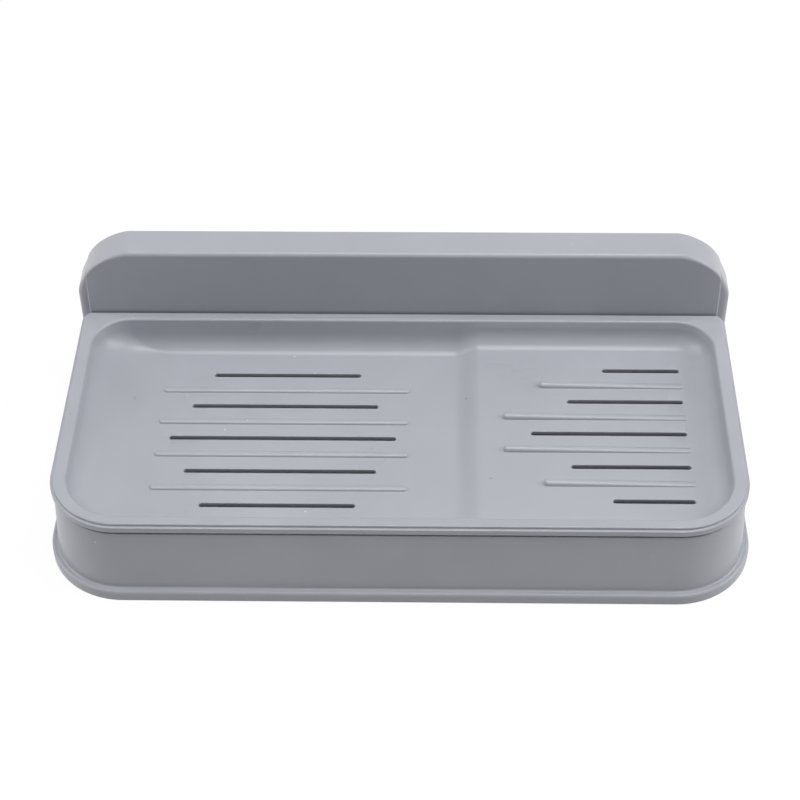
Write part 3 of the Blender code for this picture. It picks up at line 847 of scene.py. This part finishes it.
def rows_of(tree, given, form, row_span):
    """Put a copy of form on each row, and stretch it along its row.

    Returns the geometry, each point's own place in the form, and its row's middle and half length.
    """
    own_place = add_node(tree, "GeometryNodeInputPosition")
    kept = add_node(tree, "GeometryNodeCaptureAttribute")
    kept.capture_items.new("VECTOR", "Own place")
    tree.links.new(form, kept.inputs["Geometry"])
    tree.links.new(own_place.outputs["Position"], kept.inputs["Own place"])

    last = add_node(tree, "ShaderNodeMath", {0: given["Rows"], 1: 1.0}, operation="SUBTRACT")
    reach = add_node(tree, "ShaderNodeMath", {
        0: last.outputs[0], 1: given["Pitch"],
    }, operation="MULTIPLY")
    first = add_node(tree, "ShaderNodeMath", {
        0: reach.outputs[0], 1: 0.5, 2: given["Middle row"],
    }, operation="MULTIPLY_ADD")
    start = add_node(tree, "ShaderNodeCombineXYZ", {"Y": first.outputs[0]})
    back = add_node(tree, "ShaderNodeMath", {0: given["Pitch"], 1: -1.0}, operation="MULTIPLY")
    offset = add_node(tree, "ShaderNodeCombineXYZ", {"Y": back.outputs[0]})
    line = add_node(tree, "GeometryNodeMeshLine", {
        "Count": given["Rows"], "Start Location": start.outputs[0], "Offset": offset.outputs[0],
    }, mode="OFFSET")
    index = add_node(tree, "GeometryNodeInputIndex")
    numbered = add_node(tree, "GeometryNodeCaptureAttribute")
    numbered.capture_items.new("INT", "Row")
    tree.links.new(line.outputs["Mesh"], numbered.inputs["Geometry"])
    tree.links.new(index.outputs["Index"], numbered.inputs["Row"])

    copies = add_node(tree, "GeometryNodeInstanceOnPoints", {
        "Points": numbered.outputs["Geometry"], "Instance": kept.outputs["Geometry"],
    })
    solid = add_node(tree, "GeometryNodeRealizeInstances", {"Geometry": copies.outputs["Instances"]})
    span = add_node(tree, "GeometryNodeGroup", {}, node_tree=row_span)
    for name in ("Rows", "Longest", "Step", "Anchor", "Align"):
        tree.links.new(given[name], span.inputs[name])
    tree.links.new(numbered.outputs["Row"], span.inputs["Row"])
    return (
        solid.outputs["Geometry"], kept.outputs["Own place"],
        span.outputs["Middle"], span.outputs["Half length"],
    )


ROW_SOCKETS = (
    ("Geometry", "Geometry"), ("Rows", "Int"), ("Pitch", "Float"), ("Middle row", "Float"),
    ("Longest", "Float"), ("Step", "Float"), ("Anchor", "Float"), ("Align", "Float"),
    ("Width", "Float"), ("Floor", "Float"), ("Material", "Material"),
)


def slot_tree(row_span):
    """Cut rows of round-ended slots whose edges are rounded on both faces of the floor.

    The cutter is a cylinder split at its middle and pulled apart. Past its straight rings, it
    flares by a quarter circle towards each end, which leaves a rounded edge on the floor.
    """
    tree, given = new_tree("Drain slots", ROW_SOCKETS + (("Wall", "Float"), ("Edge radius", "Float")))
    sides = 22             # an even count that isn't a multiple of 4 leaves no corner at the split
    rings = 12
    straight = 2 / rings   # share of the cutter's half height that stays straight

    radius = add_node(tree, "ShaderNodeMath", {
        0: given["Width"], 1: 1 / (2 * math.cos(math.pi / sides)),
    }, operation="MULTIPLY")
    plug = add_node(tree, "GeometryNodeMeshCylinder", {
        "Vertices": sides, "Side Segments": rings, "Radius": radius.outputs[0], "Depth": 2.0,
    })
    solid, own_place, middle, half_length = rows_of(tree, given, plug.outputs["Mesh"], row_span)

    place = add_node(tree, "ShaderNodeSeparateXYZ", {"Vector": own_place})
    level = add_node(tree, "ShaderNodeMath", {0: place.outputs["Z"]}, operation="ABSOLUTE")
    angle = add_node(tree, "ShaderNodeMapRange", {
        "Value": level.outputs[0], "From Min": straight, "To Max": math.pi / 2,
    })
    cosine = add_node(tree, "ShaderNodeMath", {0: angle.outputs["Result"]}, operation="COSINE")
    sine = add_node(tree, "ShaderNodeMath", {0: angle.outputs["Result"]}, operation="SINE")
    flare = add_node(tree, "ShaderNodeMapRange", {
        "Value": cosine.outputs[0], "From Min": 1.0, "From Max": 0.0, "To Max": given["Edge radius"],
    })
    flat_place = add_node(tree, "ShaderNodeVectorMath", {
        0: own_place, 1: (1.0, 1.0, 0.0),
    }, operation="MULTIPLY")
    outwards = add_node(tree, "ShaderNodeVectorMath", {0: flat_place.outputs[0]}, operation="NORMALIZE")
    widened = add_node(tree, "ShaderNodeVectorMath", {
        0: outwards.outputs[0], "Scale": flare.outputs["Result"],
    }, operation="SCALE")

    half_wall = add_node(tree, "ShaderNodeMath", {0: given["Wall"], 1: 0.5}, operation="MULTIPLY")
    reach = add_node(tree, "ShaderNodeMath", {
        0: given["Edge radius"], 1: GRAZE - 1, 2: half_wall.outputs[0],
    }, operation="MULTIPLY_ADD")
    shaft = add_node(tree, "ShaderNodeMapRange", {
        "Value": level.outputs[0], "From Max": straight, "To Max": reach.outputs[0],
    })
    rise = add_node(tree, "ShaderNodeMath", {
        0: sine.outputs[0], 1: given["Edge radius"], 2: shaft.outputs["Result"],
    }, operation="MULTIPLY_ADD")
    up_or_down = add_node(tree, "ShaderNodeMath", {0: place.outputs["Z"]}, operation="SIGN")
    from_middle = add_node(tree, "ShaderNodeMath", {
        0: rise.outputs[0], 1: up_or_down.outputs[0], 2: given["Floor"],
    }, operation="MULTIPLY_ADD")
    lowered = add_node(tree, "ShaderNodeMath", {
        0: from_middle.outputs[0], 1: half_wall.outputs[0],
    }, operation="SUBTRACT")
    lift = add_node(tree, "ShaderNodeMath", {
        0: lowered.outputs[0], 1: place.outputs["Z"],
    }, operation="SUBTRACT")

    half_width = add_node(tree, "ShaderNodeMath", {0: given["Width"], 1: 0.5}, operation="MULTIPLY")
    pull = add_node(tree, "ShaderNodeMath", {
        0: half_length, 1: half_width.outputs[0],
    }, operation="SUBTRACT")
    side = add_node(tree, "ShaderNodeMath", {0: place.outputs["X"]}, operation="SIGN")
    along = add_node(tree, "ShaderNodeMath", {
        0: side.outputs[0], 1: pull.outputs[0], 2: middle,
    }, operation="MULTIPLY_ADD")
    shift = add_node(tree, "ShaderNodeCombineXYZ", {"X": along.outputs[0], "Z": lift.outputs[0]})
    move = add_node(tree, "ShaderNodeVectorMath", {
        0: shift.outputs[0], 1: widened.outputs[0],
    }, operation="ADD")
    cutters = add_node(tree, "GeometryNodeSetPosition", {"Geometry": solid, "Offset": move.outputs[0]})
    cut = add_node(tree, "GeometryNodeMeshBoolean", {
        "Mesh 1": given["Geometry"], "Mesh 2": cutters.outputs["Geometry"],
    }, operation="DIFFERENCE", solver="EXACT")
    close_tree(tree, given, cut.outputs["Mesh"])
    return tree


def rib_tree(row_span):
    """Raise rows of ribs with a full, rounded back; each may fall from one end to the other.

    The form is a sphere split at its middle and pulled apart. Its lower half is sunk in the floor,
    and its counts leave no corner at the split or level with the floor.
    """
    tree, given = new_tree("Drain ribs", ROW_SOCKETS + (
        ("Rise start", "Float"), ("Rise end", "Float"), ("Sink", "Float"),
    ))
    sides, rings = 30, 15
    ball = add_node(tree, "GeometryNodeMeshUVSphere", {"Segments": sides, "Rings": rings, "Radius": 1.0})
    lying = add_node(tree, "GeometryNodeTransform", {
        "Geometry": ball.outputs["Mesh"], "Rotation": (0.0, math.pi / 2, 0.0),
    })
    solid, own_place, middle, half_length = rows_of(tree, given, lying.outputs["Geometry"], row_span)

    place = add_node(tree, "ShaderNodeSeparateXYZ", {"Vector": own_place})
    boxy = {}
    for name in ("Y", "Z"):
        size = add_node(tree, "ShaderNodeMath", {0: place.outputs[name]}, operation="ABSOLUTE")
        fuller = add_node(tree, "ShaderNodeMath", {0: size.outputs[0], 1: RIB_POWER}, operation="POWER")
        way = add_node(tree, "ShaderNodeMath", {0: place.outputs[name]}, operation="SIGN")
        boxy[name] = add_node(tree, "ShaderNodeMath", {
            0: fuller.outputs[0], 1: way.outputs[0],
        }, operation="MULTIPLY").outputs[0]
    half_width = add_node(tree, "ShaderNodeMath", {0: given["Width"], 1: 0.5}, operation="MULTIPLY")
    pull = add_node(tree, "ShaderNodeMath", {
        0: half_length, 1: half_width.outputs[0],
    }, operation="SUBTRACT")
    side = add_node(tree, "ShaderNodeMath", {0: place.outputs["X"]}, operation="SIGN")
    end = add_node(tree, "ShaderNodeMath", {
        0: side.outputs[0], 1: pull.outputs[0],
    }, operation="MULTIPLY")
    from_middle = add_node(tree, "ShaderNodeMath", {
        0: place.outputs["X"], 1: half_width.outputs[0], 2: end.outputs[0],
    }, operation="MULTIPLY_ADD")
    along = add_node(tree, "ShaderNodeMath", {0: from_middle.outputs[0], 1: middle}, operation="ADD")
    start = add_node(tree, "ShaderNodeMath", {0: half_length, 1: -1.0}, operation="MULTIPLY")
    top = add_node(tree, "ShaderNodeMapRange", {
        "Value": from_middle.outputs[0], "From Min": start.outputs[0], "From Max": half_length,
        "To Min": given["Rise start"], "To Max": given["Rise end"],
    })
    above = add_node(tree, "ShaderNodeMath", {0: place.outputs["Z"], 1: 0.0}, operation="GREATER_THAN")
    height = add_node(tree, "ShaderNodeMix", {
        0: above.outputs[0], 2: given["Sink"], 3: top.outputs["Result"],
    }, data_type="FLOAT")
    level = add_node(tree, "ShaderNodeMath", {
        0: boxy["Z"], 1: height.outputs[0], 2: given["Floor"],
    }, operation="MULTIPLY_ADD")
    across = add_node(tree, "ShaderNodeMath", {
        0: boxy["Y"], 1: half_width.outputs[0],
    }, operation="MULTIPLY")
    new_place = add_node(tree, "ShaderNodeCombineXYZ", {
        "X": along.outputs[0], "Y": across.outputs[0], "Z": level.outputs[0],
    })
    move = add_node(tree, "ShaderNodeVectorMath", {
        0: new_place.outputs[0], 1: own_place,
    }, operation="SUBTRACT")
    ribs = add_node(tree, "GeometryNodeSetPosition", {"Geometry": solid, "Offset": move.outputs[0]})
    joined = add_node(tree, "GeometryNodeMeshBoolean", {}, operation="UNION", solver="EXACT")
    tree.links.new(ribs.outputs["Geometry"], joined.inputs["Mesh 2"])
    tree.links.new(given["Geometry"], joined.inputs["Mesh 2"])
    close_tree(tree, given, joined.outputs["Mesh"])
    return tree


def make_tray(material):
    tray = lofted("drain_tray_moulding", bowl_outside() + rim_outside() + bowl_inside())
    row_span = row_span_tree()
    slots, ribs = slot_tree(row_span), rib_tree(row_span)
    left_start = LEFT_SLOT_INSET - WIDTH / 2
    left_end = SLOPE_PLACE - SLOPE_WIDTH / 2 - LEFT_SLOT_MARGIN
    right_start = SLOPE_PLACE + SLOPE_WIDTH / 2 + RIGHT_SLOT_MARGIN
    right_end = WIDTH / 2 - RIGHT_SLOT_INSET
    shared = {"Pitch": row_pitch(), "Middle row": -middle_row(), "Step": SLOT_STEP, "Material": material}
    left = dict(shared, Floor=RIM_HEIGHT - DEEP_FLOOR + FOOT, Align=0.0)
    left["Anchor"] = (left_start + left_end) / 2
    right = dict(shared, Floor=RIM_HEIGHT - SHALLOW_FLOOR + FOOT, Align=1.0)

    slot = {"Rows": SLOT_ROWS, "Width": SLOT_WIDTH, "Wall": TRAY_WALL, "Edge radius": SLOT_EDGE}
    shape_by_nodes(tray, slots, dict(left, **slot, Longest=left_end - left_start))
    shape_by_nodes(tray, slots, dict(right, **slot, Longest=right_end - right_start, Anchor=right_end))
    rib = {"Rows": RIB_ROWS, "Width": RIB_WIDTH, "Sink": SINK}
    shape_by_nodes(tray, ribs, dict(left, **rib, **{
        "Longest": left_end - left_start + 2 * LEFT_RIB_OVERLAP, "Step": 0.0,
        "Rise start": LEFT_RIB_RISE, "Rise end": LEFT_RIB_RISE,
    }))
    shape_by_nodes(tray, ribs, dict(right, **rib, **{
        "Longest": right_end - right_start + RIGHT_RIB_OVERLAP + RIGHT_RIB_END,
        "Anchor": right_end + RIGHT_RIB_END,
        "Rise start": RIGHT_RIB_RISE, "Rise end": RIGHT_RIB_FADE,
    }))
    finish_surface(tray, material)
    return tray


# Wall plate and pad

def plate_tree():
    """A rounded plate that stands against the wall."""
    tree, given = new_tree("Rounded plate", (
        ("Geometry", "Geometry"), ("Width", "Float"), ("Height", "Float"), ("Corner", "Float"),
        ("Back", "Float"), ("Depth", "Float"), ("Level", "Float"), ("Material", "Material"),
    ))
    outline = add_node(tree, "GeometryNodeCurvePrimitiveQuadrilateral", {
        "Width": given["Width"], "Height": given["Height"],
    })
    rounded = add_node(tree, "GeometryNodeFilletCurve", {
        "Curve": outline.outputs["Curve"], "Count": PLATE_CORNER_STEPS, "Radius": given["Corner"],
    }, mode="POLY")
    face = add_node(tree, "GeometryNodeFillCurve", {"Curve": rounded.outputs["Curve"]}, mode="NGONS")
    raised = add_node(tree, "GeometryNodeExtrudeMesh", {
        "Mesh": face.outputs["Mesh"], "Offset Scale": given["Depth"], "Individual": False,
    })
    turned = add_node(tree, "GeometryNodeFlipFaces", {"Mesh": face.outputs["Mesh"]})
    closed = add_node(tree, "GeometryNodeJoinGeometry")
    tree.links.new(raised.outputs["Mesh"], closed.inputs[0])
    tree.links.new(turned.outputs["Mesh"], closed.inputs[0])
    whole = add_node(tree, "GeometryNodeMergeByDistance", {
        "Geometry": closed.outputs["Geometry"], "Distance": SAME_POINT,
    })
    away = add_node(tree, "ShaderNodeMath", {0: given["Back"], 1: -1.0}, operation="MULTIPLY")
    place = add_node(tree, "ShaderNodeCombineXYZ", {"Y": away.outputs[0], "Z": given["Level"]})
    standing = add_node(tree, "GeometryNodeTransform", {
        "Geometry": whole.outputs["Geometry"], "Translation": place.outputs[0],
        "Rotation": (math.pi / 2, 0.0, 0.0),
    })
    close_tree(tree, given, standing.outputs["Geometry"])
    return tree


def hook_pair_tree():
    """Two copies of a hook, a spacing apart."""
    tree, given = new_tree("Hook pair", (
        ("Geometry", "Geometry"), ("Spacing", "Float"), ("Material", "Material"),
    ))
    half = add_node(tree, "ShaderNodeMath", {0: given["Spacing"], 1: -0.5}, operation="MULTIPLY")
    start = add_node(tree, "ShaderNodeCombineXYZ", {"X": half.outputs[0]})
    offset = add_node(tree, "ShaderNodeCombineXYZ", {"X": given["Spacing"]})
    places = add_node(tree, "GeometryNodeMeshLine", {
        "Count": 2, "Start Location": start.outputs[0], "Offset": offset.outputs[0],
    }, mode="OFFSET")
    copies = add_node(tree, "GeometryNodeInstanceOnPoints", {
        "Points": places.outputs["Mesh"], "Instance": given["Geometry"],
    })
    close_tree(tree, given, copies.outputs["Instances"])
    return tree


def hook_loops():
    """An arm that stands out from the plate, with an upturned lip and a web beneath."""
    low = mount_height()
    seat, high = low + HOOK_WALL, low + HOOK_RISE
    root = plate_front() - SINK
    lip_back = plate_front() + HOOK_CHANNEL
    lip_front = lip_back + HOOK_WALL
    profile = (
        (lip_front, high), (lip_front, low), (root, low - HOOK_GUSSET),
        (root, seat), (lip_back, seat), (lip_back, high),
    )
    return profile_loops(profile, -HOOK_WIDTH / 2, HOOK_WIDTH / 2)


def soften_edges(piece, radius):
    step = piece.modifiers.new("soft_edges", "BEVEL")
    step.width = radius
    step.segments = CREASE_STEPS
    step.limit_method = "ANGLE"
    step.angle_limit = math.radians(SHARP_ANGLE)
    bake_modifiers(piece)


def empty_piece(name):
    made = bpy.data.objects.new(name, bpy.data.meshes.new(name))
    bpy.context.scene.collection.objects.link(made)
    return made


def make_plate(tree, material):
    plate = empty_piece("hook_plate_moulding")
    shape_by_nodes(plate, tree, {
        "Width": 2 * plate_half(), "Height": plate_high() - plate_low(), "Corner": PLATE_CORNER,
        "Back": PAD_DEPTH + CLEARANCE, "Depth": PLATE_DEPTH, "Level": mount_height() + FOOT,
        "Material": material,
    })
    hooks = lofted("hooks", hook_loops())
    shape_by_nodes(hooks, hook_pair_tree(), {
        "Spacing": 2 * (plate_half() - HOOK_INSET), "Material": material,
    })
    combine(plate, hooks, "UNION")
    soften_edges(plate, CREASE)
    finish_surface(plate, material)
    return plate


def make_pad(tree, material):
    pad = empty_piece("foam_pad")
    shape_by_nodes(pad, tree, {
        "Width": 2 * (plate_half() - PAD_MARGIN),
        "Height": plate_high() - plate_low() - 2 * PAD_MARGIN,
        "Corner": PLATE_CORNER - PAD_MARGIN, "Back": 0.0, "Depth": PAD_DEPTH,
        "Level": mount_height() + FOOT, "Material": material,
    })
    soften_edges(pad, CREASE / 2)
    finish_surface(pad, material)
    return pad


# Studio

def make_studio():
    floor = empty_piece("studio_floor")
    half = FLOOR_SIDE / 2
    corners = [(-half, -half, FOOT), (half, -half, FOOT), (half, half, FOOT), (-half, half, FOOT)]
    floor.data.from_pydata(corners, [], [range(len(corners))])
    floor.data.materials.append(studio_floor())

    for name, place, power in SOFTBOXES:
        light = bpy.data.lights.new(name, "AREA")
        light.size = SOFTBOX_SIDE
        light.energy = power
        lamp = bpy.data.objects.new(name, light)
        lamp.location = place
        lamp.rotation_euler = Vector(place).to_track_quat("Z", "Y").to_euler()
        bpy.context.scene.collection.objects.link(lamp)

    world = bpy.data.worlds.new("pale_studio")
    world.use_nodes = True
    tree = world.node_tree
    tree.nodes.clear()
    strength = add_node(tree, "ShaderNodeMapRange", {
        "Value": looked_at(tree), "To Min": STUDIO_GLOW, "To Max": 1.0,
    })
    glow = add_node(tree, "ShaderNodeBackground", {
        "Color": linear("#FFFFFF"), "Strength": strength.outputs["Result"],
    })
    add_node(tree, "ShaderNodeOutputWorld", {"Surface": glow.outputs["Background"]})
    bpy.context.scene.world = world


def make_camera():
    data = bpy.data.cameras.new("camera")
    data.lens = CAMERA_LENS
    data.sensor_width = CAMERA_SENSOR
    data.sensor_fit = "HORIZONTAL"
    camera = bpy.data.objects.new("camera", data)
    camera.location = CAMERA_PLACE
    camera.rotation_euler = [math.radians(angle) for angle in CAMERA_TURN]
    bpy.context.scene.collection.objects.link(camera)
    bpy.context.scene.camera = camera


def main():
    bpy.context.scene.view_settings.view_transform = "Standard"
    make_studio()
    make_camera()

    grey = moulded_polypropylene()
    plate_form = plate_tree()
    holder = make_holder(grey)
    tray = make_tray(grey)
    plate = make_plate(plate_form, moulded_abs())
    pad = make_pad(plate_form, acrylic_foam())
    for piece, body, node, slot in (
        (holder, "holder", "holder_body", "grey_polypropylene"),
        (tray, "tray", "drain_tray", "grey_polypropylene"),
        (plate, "wall_mount", "wall_plate", "pale_abs"),
        (pad, "wall_mount", "adhesive_pad", "foam_tape"),
    ):
        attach(piece, body)
        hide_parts(node)


main()
